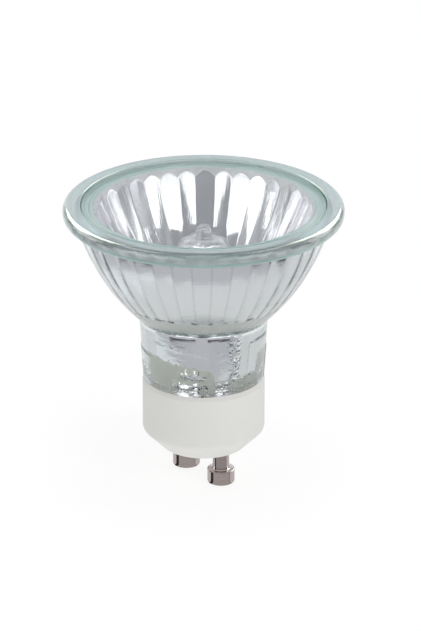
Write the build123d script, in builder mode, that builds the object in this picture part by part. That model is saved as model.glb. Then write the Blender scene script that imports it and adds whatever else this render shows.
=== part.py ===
from build123d import *
import os
from math import hypot, radians, sqrt, tan

os.makedirs("parts", exist_ok=True)

# A mains halogen reflector lamp that stands on its two twist-lock pins. Millimetres, +Z up along
# the lamp's axis, z = 0 at the pin ends, and the pins stand side by side along X.

# Heights that stack up from the pin ends
pin_projection = 6.15
base_height = 13.55
neck_height = 11.8
bowl_height = 18.75
rim_thickness = 2.75

# Pressed-glass reflector
rim_diameter = 50.6
rim_edge_round = 1.2
rim_land = 3.2
rim_overhang = 2.1
bowl_curve_radius = 40.9
bowl_wall = 3.4
neck_top_diameter = 23.3
neck_foot_diameter = 21.7
neck_corner_round = 0.35
neck_shoulder = 1.55
facet_count = 36
facet_sections = 7
throat_gap = 3.1
throat_ledge = 0.2
plain_band_height = 1.05
plain_band_angle = 14.8

# Pads moulded on the glass neck, just above the base
pad_count = 2
pad_rise = 0.15
pad_end_height = 4.9
pad_top_tilt = 6.8
pad_sweep = 105.0
pad_start_angle = -30.6
pad_corner_round = 1.6
pad_root_depth = 0.5

# Front lens and the bead that bonds it
lens_thickness = 1.9
lens_edge_chamfer = 0.25
lens_set_in = 0.1
lens_bond_width = 0.15
lens_bond_set_in = 0.2

# Ceramic base
base_wall = 1.42
base_floor_thickness = 4.4
base_bevel_width = 3.52
base_bevel_height = 3.5
base_bevel_round = 1.2
base_seat_round = 0.6
base_rim_chamfer_width = 0.3
base_rim_chamfer_height = 0.8
neck_cement_thickness = 0.4
wiring_space = 1.95

# Contact pins
pin_spacing = 10.0
pin_head_diameter = 5.0
pin_head_length = 2.7
pin_end_chamfer = 0.4
pin_shank_diameter = 3.0
pin_hole_clearance = 0.05
pin_rivet_diameter = 4.4
pin_rivet_thickness = 0.6
pin_bore_diameter = 1.1
pin_bore_lift = 0.2

# Quartz capsule, from the foot of its pinch to its exhaust tip
pinch_inset = 1.5
pinch_length = 13.5
pinch_width = 9.0
pinch_rail_thickness = 3.2
pinch_rail_width = 1.3
pinch_web_thickness = 2.4
capsule_shoulder_height = 3.0
capsule_diameter = 9.7
capsule_wall = 1.0
capsule_dome_height = 2.8
tip_diameter = 3.2
tip_height = 1.8
tip_clearance = 3.4

# Cement plug that holds the pinch in the neck
plug_wall = 1.12
plug_lift = 1.6
plug_height = 6.0

# Wires and foils in the capsule
lead_spacing = 4.6
foil_width = 2.2
foil_thickness = 0.05
foil_foot_margin = 3.0
foil_head_margin = 2.5
foil_lap = 1.5
foil_offset = 0.12
inner_lead_diameter = 0.5
inner_lead_rise = 2.0
outer_lead_diameter = 0.7
outer_lead_drop = 0.8
outer_lead_end_gap = 0.3

# Folded filament and its support wires
filament_diameter = 0.9
filament_legs = 4
filament_bend_rise = 0.5
filament_head_room = 2.0
support_diameter = 0.3
support_eye_thickness = 0.2
support_foil_gap = 0.3
support_clearance = 0.05

# Levels that follow from the heights
pin_bore_foot_z = pin_head_length + pin_bore_lift
base_bottom_z = pin_projection
base_top_z = base_bottom_z + base_height
base_bevel_z = base_bottom_z + base_bevel_height
base_floor_z = base_bottom_z + base_floor_thickness
spigot_foot_z = base_floor_z + wiring_space
neck_top_z = base_top_z + neck_height
rim_bottom_z = neck_top_z + bowl_height
rim_top_z = rim_bottom_z + rim_thickness
lens_seat_z = rim_top_z - lens_set_in - lens_thickness
pinch_foot_z = spigot_foot_z + pinch_inset
pinch_top_z = pinch_foot_z + pinch_length
plug_foot_z = pinch_foot_z + plug_lift
plug_top_z = plug_foot_z + plug_height
tube_foot_z = pinch_top_z + capsule_shoulder_height
tip_top_z = lens_seat_z - tip_clearance
dome_top_z = tip_top_z - tip_height
tube_top_z = dome_top_z - capsule_dome_height
foil_foot_z = pinch_foot_z + foil_foot_margin
foil_top_z = pinch_top_z - foil_head_margin
inner_lead_foot_z = foil_top_z - foil_lap
inner_lead_top_z = tube_foot_z + inner_lead_rise
outer_lead_top_z = foil_foot_z + foil_lap

# Radii that follow from the diameters and walls
rim_radius = rim_diameter / 2
lens_recess_radius = rim_radius - rim_land
lens_radius = lens_recess_radius - lens_bond_width
neck_top_radius = neck_top_diameter / 2
neck_foot_radius = neck_foot_diameter / 2
spigot_radius = neck_foot_radius - neck_shoulder
cup_radius = spigot_radius + neck_cement_thickness
base_radius = cup_radius + base_wall
base_seat_radius = base_radius - base_bevel_width
capsule_radius = capsule_diameter / 2
cavity_radius = capsule_radius - capsule_wall
facet_foot_radius = capsule_radius + throat_gap
bore_top_radius = facet_foot_radius - throat_ledge
bore_foot_radius = hypot(pinch_width / 2, pinch_rail_thickness / 2) + plug_wall


def curve_centre(start, end, radius):
    """Centre of the arc from start to end, on the lamp axis' side of it, as (r, z)."""
    half_r = (end[0] - start[0]) / 2
    half_z = (end[1] - start[1]) / 2
    half_chord = sqrt(half_r**2 + half_z**2)
    reach = sqrt(radius**2 - half_chord**2) / half_chord
    return start[0] + half_r - half_z * reach, start[1] + half_z + half_r * reach


# The mirror side of the bowl runs parallel to the outside, one wall further in
bowl_foot = (neck_top_radius, neck_top_z)
bowl_head = (rim_radius - rim_overhang, rim_bottom_z)
bowl_centre_r, bowl_centre_z = curve_centre(bowl_foot, bowl_head, bowl_curve_radius)
mirror_radius = bowl_curve_radius - bowl_wall


def facet_apothem(z):
    """Distance from the axis to the middle of a facet at height z."""
    return bowl_centre_r + sqrt(mirror_radius**2 - (z - bowl_centre_z) ** 2)


facet_foot_z = bowl_centre_z - sqrt(mirror_radius**2 - (facet_foot_radius - bowl_centre_r) ** 2)
facet_step = (lens_seat_z - facet_foot_z) / (facet_sections - 1)


def neck_radius(z):
    """Outside of the tapered glass neck at height z."""
    share = (z - base_top_z) / neck_height
    return neck_foot_radius + share * (neck_top_radius - neck_foot_radius)


def bore_radius(z):
    """Inside of the tapered glass neck at height z."""
    share = (z - spigot_foot_z) / (facet_foot_z - spigot_foot_z)
    return bore_foot_radius + share * (bore_top_radius - bore_foot_radius)


# Pads on the neck: a thin sector with a slanted top edge and one rounded upper corner
pad_slope = tan(radians(pad_top_tilt))
pad_top_z = base_top_z + pad_end_height + neck_top_radius * pad_slope
with BuildPart() as neck_pad:
    with BuildSketch(Plane.XZ):
        with BuildLine():
            Polyline(
                (neck_radius(base_top_z) - pad_root_depth, base_top_z),
                (neck_radius(base_top_z) + pad_rise, base_top_z),
                (neck_radius(pad_top_z) + pad_rise, pad_top_z),
                (neck_radius(pad_top_z) - pad_root_depth, pad_top_z),
                close=True,
            )
        make_face()
    revolve(axis=Axis.Z, revolution_arc=-pad_sweep)
    pad_top = Plane(
        origin=(0, 0, base_top_z + pad_end_height),
        x_dir=(1, 0, 0),
        z_dir=(0, pad_slope, 1),
    )
    split(bisect_by=pad_top, keep=Keep.BOTTOM)
    pad_corner = neck_pad.edges().group_by(Axis.Y)[-1].sort_by(Axis.Z)[-1]
    fillet(pad_corner, radius=pad_corner_round)

# The hollow of the bowl: flat strips that run out in arches under a plain conical band
band_slope = tan(radians(plain_band_angle))
facet_head_z = lens_seat_z - plain_band_height
aperture_radius = facet_apothem(facet_head_z) + plain_band_height * band_slope
band_foot_radius = aperture_radius - (lens_seat_z - facet_foot_z) * band_slope
with BuildPart() as bowl_hollow:
    for section in range(facet_sections):
        section_z = facet_foot_z + section * facet_step
        with BuildSketch(Plane.XY.offset(section_z)):
            RegularPolygon(
                radius=facet_apothem(section_z),
                side_count=facet_count,
                major_radius=False,
                rotation=180 / facet_count,
            )
    loft()
    with BuildSketch(Plane.XZ):
        with BuildLine():
            Polyline(
                (0, facet_foot_z),
                (band_foot_radius, facet_foot_z),
                (aperture_radius, lens_seat_z),
                (0, lens_seat_z),
                close=True,
            )
        make_face()
    revolve(axis=Axis.Z, mode=Mode.INTERSECT)

# Reflector: rim, bowl, neck and the spigot that goes into the base, pressed in one piece of glass
with BuildPart() as reflector:
    with BuildSketch(Plane.XZ) as glass_section:
        with BuildLine():
            Line((0, spigot_foot_z), (spigot_radius, spigot_foot_z))
            Line((spigot_radius, spigot_foot_z), (spigot_radius, base_top_z))
            Line((spigot_radius, base_top_z), (neck_foot_radius, base_top_z))
            Line((neck_foot_radius, base_top_z), bowl_foot)
            RadiusArc(bowl_foot, bowl_head, -bowl_curve_radius)
            Line(bowl_head, (rim_radius, rim_bottom_z))
            Line((rim_radius, rim_bottom_z), (rim_radius, rim_top_z))
            Line((rim_radius, rim_top_z), (0, rim_top_z))
            Line((0, rim_top_z), (0, spigot_foot_z))
        make_face()
        fillet(glass_section.vertices().group_by(Axis.X)[-1], radius=rim_edge_round)
        waist_corner = glass_section.vertices().sort_by_distance((neck_top_radius, neck_top_z))[0]
        fillet(waist_corner, radius=neck_corner_round)
    revolve(axis=Axis.Z)
    with PolarLocations(0, pad_count, start_angle=pad_start_angle):
        add(neck_pad.part)
    add(bowl_hollow.part, mode=Mode.SUBTRACT)
    with BuildSketch(Plane.XY.offset(lens_seat_z)):
        Circle(lens_recess_radius)
    extrude(amount=rim_top_z - lens_seat_z, mode=Mode.SUBTRACT)
    with BuildSketch(Plane.XZ):
        with BuildLine():
            Polyline(
                (0, spigot_foot_z),
                (bore_foot_radius, spigot_foot_z),
                (bore_top_radius, facet_foot_z),
                (0, facet_foot_z),
                close=True,
            )
        make_face()
    revolve(axis=Axis.Z, mode=Mode.SUBTRACT)
reflector.part.label = "reflector"
export_step(reflector.part, "parts/reflector.step")

# Front lens: a flat disc that lies on the ledge inside the rim
with BuildPart() as front_lens:
    with BuildSketch(Plane.XY.offset(lens_seat_z)):
        Circle(lens_radius)
    extrude(amount=lens_thickness)
    chamfer(front_lens.faces().sort_by(Axis.Z)[-1].edges(), length=lens_edge_chamfer)
front_lens.part.label = "front_lens"
export_step(front_lens.part, "parts/front_lens.step")

# Lens bond: the bead of adhesive between the lens and the rim
with BuildPart() as lens_bond:
    with BuildSketch(Plane.XY.offset(lens_seat_z)):
        Circle(lens_recess_radius)
        Circle(lens_radius, mode=Mode.SUBTRACT)
    extrude(amount=lens_thickness - lens_edge_chamfer - lens_bond_set_in)
lens_bond.part.label = "lens_bond"
export_step(lens_bond.part, "parts/lens_bond.step")

# Ceramic base: a bevelled cup with two holes for the contact pins
with BuildPart() as ceramic_base:
    with BuildSketch(Plane.XZ) as base_section:
        with BuildLine():
            Polyline(
                (0, base_bottom_z),
                (base_seat_radius, base_bottom_z),
                (base_radius, base_bevel_z),
                (base_radius, base_top_z - base_rim_chamfer_height),
                (base_radius - base_rim_chamfer_width, base_top_z),
                (cup_radius, base_top_z),
                (cup_radius, base_floor_z),
                (0, base_floor_z),
                close=True,
            )
        make_face()
        bevel_corner = base_section.vertices().sort_by_distance((base_radius, base_bevel_z))[0]
        fillet(bevel_corner, radius=base_bevel_round)
        seat_corner = base_section.vertices().sort_by_distance((base_seat_radius, base_bottom_z))[0]
        fillet(seat_corner, radius=base_seat_round)
    revolve(axis=Axis.Z)
    with Locations((0, 0, base_floor_z)):
        with GridLocations(pin_spacing, 0, 2, 1):
            Hole(radius=pin_shank_diameter / 2 + pin_hole_clearance, depth=base_floor_thickness)
ceramic_base.part.label = "ceramic_base"
export_step(ceramic_base.part, "parts/ceramic_base.step")

# Neck cement: the ring that bonds the glass spigot into the cup
with BuildPart() as neck_cement:
    with BuildSketch(Plane.XY.offset(spigot_foot_z)):
        Circle(cup_radius)
        Circle(spigot_radius, mode=Mode.SUBTRACT)
    extrude(amount=base_top_z - spigot_foot_z)
neck_cement.part.label = "neck_cement"
export_step(neck_cement.part, "parts/neck_cement.step")

# Contact pins: turned studs with a solid head, hollow above it for the wire, riveted over inside the base
for side, sign in (("left", -1), ("right", 1)):
    pin_x = sign * pin_spacing / 2
    with BuildPart() as contact_pin:
        with BuildSketch(Plane.XZ):
            with BuildLine():
                Polyline(
                    (pin_x, 0),
                    (pin_x + pin_head_diameter / 2, 0),
                    (pin_x + pin_head_diameter / 2, pin_head_length),
                    (pin_x + pin_shank_diameter / 2, pin_head_length),
                    (pin_x + pin_shank_diameter / 2, base_floor_z),
                    (pin_x + pin_rivet_diameter / 2, base_floor_z),
                    (pin_x + pin_bore_diameter / 2, base_floor_z + pin_rivet_thickness),
                    (pin_x + pin_bore_diameter / 2, pin_bore_foot_z),
                    (pin_x, pin_bore_foot_z),
                    close=True,
                )
            make_face()
        revolve(axis=Axis((pin_x, 0, 0), (0, 0, 1)))
        chamfer(contact_pin.faces().sort_by(Axis.Z)[0].edges(), length=pin_end_chamfer)
    contact_pin.part.label = f"contact_pin_{side}"
    export_step(contact_pin.part, f"parts/contact_pin_{side}.step")

# Foils, inner leads and outer leads, one of each on both sides of the pinch
buried_wires = []
for side, sign in (("left", -1), ("right", 1)):
    lead_x = sign * lead_spacing / 2
    pin_x = sign * pin_spacing / 2

    with BuildPart() as foil:
        with BuildSketch(Plane.XY.offset(foil_foot_z)):
            with Locations((lead_x, foil_offset + foil_thickness / 2)):
                Rectangle(foil_width, foil_thickness)
        extrude(amount=foil_top_z - foil_foot_z)
    foil.part.label = f"foil_{side}"
    export_step(foil.part, f"parts/foil_{side}.step")

    # The side of each wire that is welded to the foil is pressed flat against it
    with BuildPart() as inner_lead:
        with BuildSketch(Plane.XY.offset(inner_lead_foot_z)):
            with Locations((lead_x, 0)):
                Circle(inner_lead_diameter / 2)
        extrude(amount=inner_lead_top_z - inner_lead_foot_z)
        with BuildSketch(Plane.XY.offset(inner_lead_foot_z)):
            with Locations((lead_x, foil_offset)):
                Rectangle(foil_width, inner_lead_diameter, align=(Align.CENTER, Align.MIN))
        extrude(amount=foil_lap, mode=Mode.SUBTRACT)
    inner_lead.part.label = f"inner_lead_{side}"
    export_step(inner_lead.part, f"parts/inner_lead_{side}.step")

    with BuildPart() as outer_lead:
        with BuildLine():
            Polyline(
                (lead_x, 0, outer_lead_top_z),
                (lead_x, 0, pinch_foot_z - outer_lead_drop),
                (pin_x, 0, base_floor_z + pin_rivet_thickness + outer_lead_drop),
                (pin_x, 0, pin_bore_foot_z + outer_lead_end_gap),
            )
        with BuildSketch(Plane.XY.offset(outer_lead_top_z)):
            with Locations((lead_x, 0)):
                Circle(outer_lead_diameter / 2)
        sweep(transition=Transition.RIGHT)
        with BuildSketch(Plane.XY.offset(foil_foot_z)):
            with Locations((lead_x, foil_offset)):
                Rectangle(foil_width, outer_lead_diameter, align=(Align.CENTER, Align.MIN))
        extrude(amount=foil_lap, mode=Mode.SUBTRACT)
    outer_lead.part.label = f"outer_lead_{side}"
    export_step(outer_lead.part, f"parts/outer_lead_{side}.step")

    buried_wires += [foil.part, inner_lead.part, outer_lead.part]

# Filament: the outside of a coil that is folded up and down between the two leads
leg_pitch = lead_spacing / (filament_legs - 1)
leg_top_z = tube_top_z - filament_head_room
leg_turn_z = inner_lead_top_z + filament_bend_rise
bend_flat = leg_pitch / 4
filament_points = [(-lead_spacing / 2, inner_lead_top_z)]
bend_places = []
for bend in range(filament_legs - 1):
    bend_x = (bend + 0.5) * leg_pitch - lead_spacing / 2
    bend_root_z = leg_top_z if bend % 2 == 0 else leg_turn_z
    bend_tip_z = bend_root_z + (filament_bend_rise if bend % 2 == 0 else -filament_bend_rise)
    bend_places.append((bend_x, bend_tip_z))
    filament_points += [
        (bend_x - leg_pitch / 2, bend_root_z),
        (bend_x - bend_flat, bend_tip_z),
        (bend_x + bend_flat, bend_tip_z),
        (bend_x + leg_pitch / 2, bend_root_z),
    ]
filament_points.append((lead_spacing / 2, inner_lead_top_z))
with BuildPart() as filament:
    with BuildLine():
        Polyline([(x, 0, z) for x, z in filament_points])
    with BuildSketch(Plane.XY.offset(inner_lead_top_z)):
        with Locations((-lead_spacing / 2, 0)):
            Circle(filament_diameter / 2)
    sweep(transition=Transition.RIGHT)
filament.part.label = "filament"
export_step(filament.part, "parts/filament.step")

# Filament supports: straight wires from the pinch, each with a flattened eye around one bend of the coil
eye_inner_radius = filament_diameter / 2 + support_clearance
eye_outer_radius = eye_inner_radius + support_diameter
for number, (bend_x, bend_z) in enumerate(bend_places, start=1):
    with BuildPart() as support:
        support_foot_z = foil_top_z + support_foil_gap
        with BuildSketch(Plane.XY.offset(support_foot_z)):
            with Locations((bend_x, 0)):
                Circle(support_diameter / 2)
        extrude(amount=bend_z - eye_inner_radius - support_diameter / 2 - support_foot_z)
        with BuildSketch(Plane.YZ.offset(bend_x)):
            with Locations((0, bend_z)):
                Circle(eye_outer_radius)
                Circle(eye_inner_radius, mode=Mode.SUBTRACT)
        extrude(amount=support_eye_thickness / 2, both=True)
    support.part.label = f"filament_support_{number}"
    export_step(support.part, f"parts/filament_support_{number}.step")
    buried_wires.append(support.part)

# Capsule: quartz tube with a domed head, an exhaust tip and a flat pinch that buries the wires
tip_radius = tip_diameter / 2
dome_radius = (capsule_radius**2 + capsule_dome_height**2) / (2 * capsule_dome_height)
cavity_dome_radius = dome_radius - capsule_wall
cavity_top_z = dome_top_z - dome_radius + sqrt(cavity_dome_radius**2 - cavity_radius**2)
with BuildPart() as capsule:
    with BuildSketch(Plane.XZ):
        with BuildLine():
            Line((0, pinch_top_z), (capsule_radius, pinch_top_z))
            Line((capsule_radius, pinch_top_z), (capsule_radius, tube_top_z))
            RadiusArc((capsule_radius, tube_top_z), (0, dome_top_z), -dome_radius)
            Line((0, dome_top_z), (0, pinch_top_z))
        make_face()
    revolve(axis=Axis.Z)
    with BuildSketch(Plane.XZ):
        with BuildLine():
            Line((0, tube_top_z), (tip_radius, tube_top_z))
            Line((tip_radius, tube_top_z), (tip_radius, tip_top_z - tip_radius))
            RadiusArc((tip_radius, tip_top_z - tip_radius), (0, tip_top_z), -tip_radius)
            Line((0, tip_top_z), (0, tube_top_z))
        make_face()
    revolve(axis=Axis.Z)
    with BuildSketch(Plane.YZ):
        with BuildLine():
            Polyline(
                (pinch_rail_thickness / 2, pinch_top_z),
                (capsule_radius, pinch_top_z),
                (capsule_radius, tube_foot_z),
                close=True,
            )
        make_face()
        mirror(about=Plane.YZ)
    extrude(amount=capsule_radius, both=True, mode=Mode.SUBTRACT)
    with BuildSketch(Plane.XY.offset(pinch_foot_z)):
        Rectangle(pinch_width, pinch_web_thickness)
        with GridLocations(pinch_width - pinch_rail_width, 0, 2, 1):
            Rectangle(pinch_rail_width, pinch_rail_thickness)
    extrude(amount=pinch_length)
    with BuildSketch(Plane.XZ):
        with BuildLine():
            Line((0, tube_foot_z), (cavity_radius, tube_foot_z))
            Line((cavity_radius, tube_foot_z), (cavity_radius, cavity_top_z))
            RadiusArc((cavity_radius, cavity_top_z), (0, dome_top_z - capsule_wall), -cavity_dome_radius)
            Line((0, dome_top_z - capsule_wall), (0, tube_foot_z))
        make_face()
    revolve(axis=Axis.Z, mode=Mode.SUBTRACT)
    for wire in buried_wires:
        add(wire, mode=Mode.SUBTRACT)
capsule.part.label = "capsule"
export_step(capsule.part, "parts/capsule.step")

# Capsule cement: the plug that holds the pinch in the foot of the neck
with BuildPart() as capsule_cement:
    with BuildSketch(Plane.XZ):
        with BuildLine():
            Polyline(
                (0, plug_foot_z),
                (bore_radius(plug_foot_z), plug_foot_z),
                (bore_radius(plug_top_z), plug_top_z),
                (0, plug_top_z),
                close=True,
            )
        make_face()
    revolve(axis=Axis.Z)
    with BuildSketch(Plane.XY.offset(plug_foot_z)):
        Rectangle(pinch_width, pinch_web_thickness)
        with GridLocations(pinch_width - pinch_rail_width, 0, 2, 1):
            Rectangle(pinch_rail_width, pinch_rail_thickness)
    extrude(amount=plug_height, mode=Mode.SUBTRACT)
capsule_cement.part.label = "capsule_cement"
export_step(capsule_cement.part, "parts/capsule_cement.step")
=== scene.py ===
import math

import bpy
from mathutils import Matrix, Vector, noise


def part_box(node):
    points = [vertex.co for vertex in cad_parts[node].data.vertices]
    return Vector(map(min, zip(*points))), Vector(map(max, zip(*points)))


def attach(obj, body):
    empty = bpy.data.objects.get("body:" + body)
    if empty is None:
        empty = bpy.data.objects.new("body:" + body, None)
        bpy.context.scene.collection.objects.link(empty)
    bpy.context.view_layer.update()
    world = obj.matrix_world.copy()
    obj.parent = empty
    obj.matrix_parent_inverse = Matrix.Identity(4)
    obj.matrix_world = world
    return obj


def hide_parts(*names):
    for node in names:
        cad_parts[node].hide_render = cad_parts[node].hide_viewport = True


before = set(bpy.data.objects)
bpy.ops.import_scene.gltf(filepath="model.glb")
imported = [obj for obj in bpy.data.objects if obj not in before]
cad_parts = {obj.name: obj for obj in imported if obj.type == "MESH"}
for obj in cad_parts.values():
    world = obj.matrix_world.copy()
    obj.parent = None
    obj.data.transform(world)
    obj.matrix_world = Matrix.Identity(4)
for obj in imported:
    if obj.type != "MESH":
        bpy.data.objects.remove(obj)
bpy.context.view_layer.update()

# Shapes are worked out in millimetres and written to the meshes in metres
MM = 0.001


def box_mm(node):
    """Lowest and highest corner of a CAD node, in millimetres."""
    low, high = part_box(node)
    return low / MM, high / MM


reflector_low, reflector_high = box_mm("reflector")
lens_low, lens_high = box_mm("front_lens")
bond_low, bond_high = box_mm("lens_bond")
_, base_high = box_mm("ceramic_base")
capsule_low, capsule_high = box_mm("capsule")
filament_low, filament_high = box_mm("filament")

# Camera of the photograph
camera_azimuth = 50.8
camera_side = math.radians(camera_azimuth - 90)
camera_elevation = 22.81
camera_distance = 800.0
camera_aim = Vector((0, 0, 31.144))
photo_height = 631
camera_focal_pixels = 4425.0
camera_shift_pixels = 6.84
sensor_height = 36.0

# Reflector sizes that its box doesn't give
rim_thickness = 2.75
rim_edge_round = 1.2
rim_overhang = 2.1
bowl_curve_radius = 40.9
bowl_wall = 3.4
neck_height = 11.8
neck_top_radius = 11.65
neck_foot_radius = 10.85
waist_round = 0.35
spigot_radius = 9.3
bore_foot_radius = 5.9
throat_gap = 3.1
throat_ledge = 0.2
facet_count = 36
facet_columns = 10
plain_band_height = 0.68
plain_band_angle = 12.4
facet_bulge_angle = 3.0

# Pads on the neck
pad_count = 2
pad_rise = 0.15
pad_end_height = 4.9
pad_slope = 0.119
pad_sweep = 105.0
pad_start_angle = -30.6
pad_edge = 0.5
pad_corner_round = 1.6
pad_tail_fade = 0.35

# Mirror coating in the neck: bare below an edge and behind the pads, with scraps left near the foot and
# behind the pads; patches of scraps are (middle, half width) in degrees
coat_edge = 21.4
window_turn = 3.5
window_drop = 1.0
scrap_reach = 0.5
scrap_height = 0.9
throat_rise = 0.9
facet_bare_rows = 7
facet_throat_rows = 2
bed_coat = 0.35
scrap_patches = [(-59, 35), (-14, 14), (75, 26), (150, 18), (215, 24)]
window_scrap_height = 2.95
window_scrap_patches = [(-53, 23), (127, 23)]

# Ridged mould seam inside the neck
seam_angle = 3.0
seam_width = 6.0
seam_depth = 0.2
ridges_per_degree = 0.35
ridges_per_mm = 2.8
ridge_seed = 3.7

# Crumpled coating near the neck's foot
crumple_height = 1.9
crumple_fade = 0.7
window_crumple_reach = 1.05
crumple_scale = 1200
crumple_depth = 0.28

# Room between pieces that touch in the CAD model, so that no two surfaces coincide
clearance = 0.03

# Levels and radii that follow
rim_radius = reflector_high.x
rim_top = reflector_high.z
rim_bottom = rim_top - rim_thickness
spigot_foot = reflector_low.z
base_top = base_high.z
neck_top = base_top + neck_height
lens_seat = lens_low.z
recess_radius = bond_high.x
capsule_radius = capsule_high.x
facet_foot_radius = capsule_radius + throat_gap
bore_top_radius = facet_foot_radius - throat_ledge
bowl_foot = (neck_top_radius, neck_top)
bowl_head = (rim_radius - rim_overhang, rim_bottom)


def curve_centre(start, end, radius):
    """Centre of the arc from start to end, on the lamp axis' side of it, as (r, z)."""
    half_r = (end[0] - start[0]) / 2
    half_z = (end[1] - start[1]) / 2
    half_chord = math.hypot(half_r, half_z)
    reach = math.sqrt(radius**2 - half_chord**2) / half_chord
    return start[0] + half_r - half_z * reach, start[1] + half_z + half_r * reach


bowl_centre_r, bowl_centre_z = curve_centre(bowl_foot, bowl_head, bowl_curve_radius)
mirror_radius = bowl_curve_radius - bowl_wall
facet_foot = bowl_centre_z - math.sqrt(mirror_radius**2 - (facet_foot_radius - bowl_centre_r) ** 2)
facet_head = lens_seat - plain_band_height
facet_half_angle = math.pi / facet_count
band_slope = math.tan(math.radians(plain_band_angle))


def facet_apothem(z):
    """Distance from the axis to the middle of a facet at height z."""
    return bowl_centre_r + math.sqrt(mirror_radius**2 - (z - bowl_centre_z) ** 2)


def facet_radius(offset, z):
    """Distance from the axis to a facet, at an angle from its middle; facets swell slightly inwards."""
    apothem = facet_apothem(z)
    half_width = apothem * math.tan(facet_half_angle)
    groove = half_width * math.tan(math.radians(facet_bulge_angle)) / 2
    return apothem / math.cos(offset) + groove * (offset / facet_half_angle) ** 2


def band_radius(z):
    """Plain conical band between the facets and the lens ledge."""
    return facet_apothem(facet_head) + (z - facet_head) * band_slope


def facet_top(offset):
    """Height at which a facet runs out into the plain band, which draws an arch over each facet."""
    low = facet_foot
    high = lens_seat
    halvings = 40
    for _ in range(halvings):
        middle = (low + high) / 2
        if facet_radius(offset, middle) < band_radius(middle):
            low = middle
        else:
            high = middle
    return low


def smooth_step(x):
    """Rises softly from 0 to 1 as x does."""
    x = min(max(x, 0.0), 1.0)
    return x * x * (3 - 2 * x)


def spread(start, end, steps):
    """Evenly spaced values from start to end."""
    return [start + (end - start) * step / steps for step in range(steps + 1)]


def turn_from(middle, angle):
    """Degrees from a direction to an angle in radians, between -180 and 180."""
    return (math.degrees(angle) - middle + 180) % 360 - 180


def neck_radius(z):
    share = (z - base_top) / neck_height
    return neck_foot_radius + share * (neck_top_radius - neck_foot_radius)


def bore_radius(z):
    share = (z - spigot_foot) / (facet_foot - spigot_foot)
    return bore_foot_radius + share * (bore_top_radius - bore_foot_radius)


def pad_reach(angle, z):
    """How far a point of the neck lies inside the nearest moulded pad; negative outside."""
    best = -math.inf
    for pad in range(pad_count):
        start = pad_start_angle + pad * 360 / pad_count
        turn = turn_from(start, angle)
        if turn > 90:
            turn -= 360
        inside_end = -math.radians(turn) * neck_foot_radius
        inside_tail = math.radians(turn + pad_sweep) * neck_foot_radius * pad_tail_fade
        top = base_top + pad_end_height - pad_slope * neck_top_radius * math.sin(math.radians(turn))
        corner = max(0.0, pad_corner_round - inside_end)
        top -= corner**2 / (2 * pad_corner_round)
        best = max(best, min(inside_end, inside_tail, top - z))
    return best


def pad_cover(angle, z):
    """1 on a pad, 0 beside it, with a soft edge between."""
    return smooth_step(pad_reach(angle, z) / pad_edge + 0.5)


def scrap_share(angle, patches):
    """1 in the middle of a patch of scraps, 0 between the patches."""
    best = 0.0
    for middle, half_width in patches:
        turn = turn_from(middle, angle)
        best = max(best, 1 - (turn / half_width) ** 4)
    return best


def crumple_share(angle, z):
    """How strongly the coating is crumpled: near the foot, and in the scraps behind the pads."""
    height = z - base_top
    foot = smooth_step((crumple_height - height) / crumple_fade) * scrap_share(angle, scrap_patches)
    away = abs(height - window_scrap_height)
    window = smooth_step((window_crumple_reach - away) / crumple_fade)
    return max(foot, window * scrap_share(angle, window_scrap_patches))


def bore_ring(z):
    """One ring of the neck bore, with the ridged seam that the mould left and the crumpled coating."""
    def ring(angle):
        turn = turn_from(seam_angle, angle)
        strength = math.exp(-((turn / seam_width) ** 2))
        wave = noise.noise(Vector((turn * ridges_per_degree, z * ridges_per_mm, ridge_seed)))
        crumple = crumple_share(angle, z)
        grain = 0.5 + 0.5 * noise.noise(Vector(polar(bore_radius(z), angle, z)) * crumple_scale)
        ridges = seam_depth * strength * (1 + wave)
        return bore_radius(z) + clearance + ridges + crumple_depth * crumple * grain, z
    return ring


def coat_reach(angle, z):
    """How far a point of the neck bore lies inside the mirror coating; negative where it is bare."""
    above_edge = z - coat_edge
    window = pad_reach(angle - math.radians(window_turn), z + window_drop)
    throat = facet_foot + throat_rise - z
    reach = min(above_edge, -window, throat)
    for height, patches in ((scrap_height, scrap_patches), (window_scrap_height, window_scrap_patches)):
        scraps = (scrap_reach + 1) * scrap_share(angle, patches) - 1 - abs(z - base_top - height)
        reach = max(reach, scraps)
    return reach


def polar(radius, angle, z, centre_x=0.0):
    """A point in metres, around the axis or around a place on the X axis."""
    return (radius * math.cos(angle) * MM + centre_x * MM, radius * math.sin(angle) * MM, z * MM)


def new_piece(name, vertices, faces, materials, face_materials=None, sharp_edges=(), smooth=True,
              marks=None):
    """A mesh object made from plain lists; sharp_edges are pairs of vertex numbers.

    marks names values that are kept at the vertices for the materials.
    """
    mesh = bpy.data.meshes.new(name)
    mesh.from_pydata(vertices, [], faces)
    for material in materials:
        mesh.materials.append(material)
    mesh.polygons.foreach_set("use_smooth", [smooth] * len(mesh.polygons))
    if face_materials:
        mesh.polygons.foreach_set("material_index", face_materials)
    if sharp_edges:
        wanted = {tuple(sorted(edge)) for edge in sharp_edges}
        for edge in mesh.edges:
            edge.use_edge_sharp = tuple(sorted(edge.vertices)) in wanted
    for mark, values in (marks or {}).items():
        mesh.attributes.new(mark, "FLOAT", "POINT").data.foreach_set("value", values)
    mesh.validate()
    mesh.update()
    piece = bpy.data.objects.new(name, mesh)
    bpy.context.scene.collection.objects.link(piece)
    return piece


def beside(row):
    """Pairs of neighbours in a closed row of vertex numbers."""
    return list(zip(row, [*row[1:], row[0]]))


def join_rows(lower, upper):
    """Faces between two closed rows of vertex numbers; a row of one vertex gives a fan."""
    if len(lower) == 1:
        return [(lower[0], right, left) for left, right in beside(upper)]
    if len(upper) == 1:
        return [(left, right, upper[0]) for left, right in beside(lower)]
    pairs = zip(beside(lower), beside(upper))
    return [(left, right, upper_right, upper_left) for (left, right), (upper_left, upper_right) in pairs]


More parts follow.
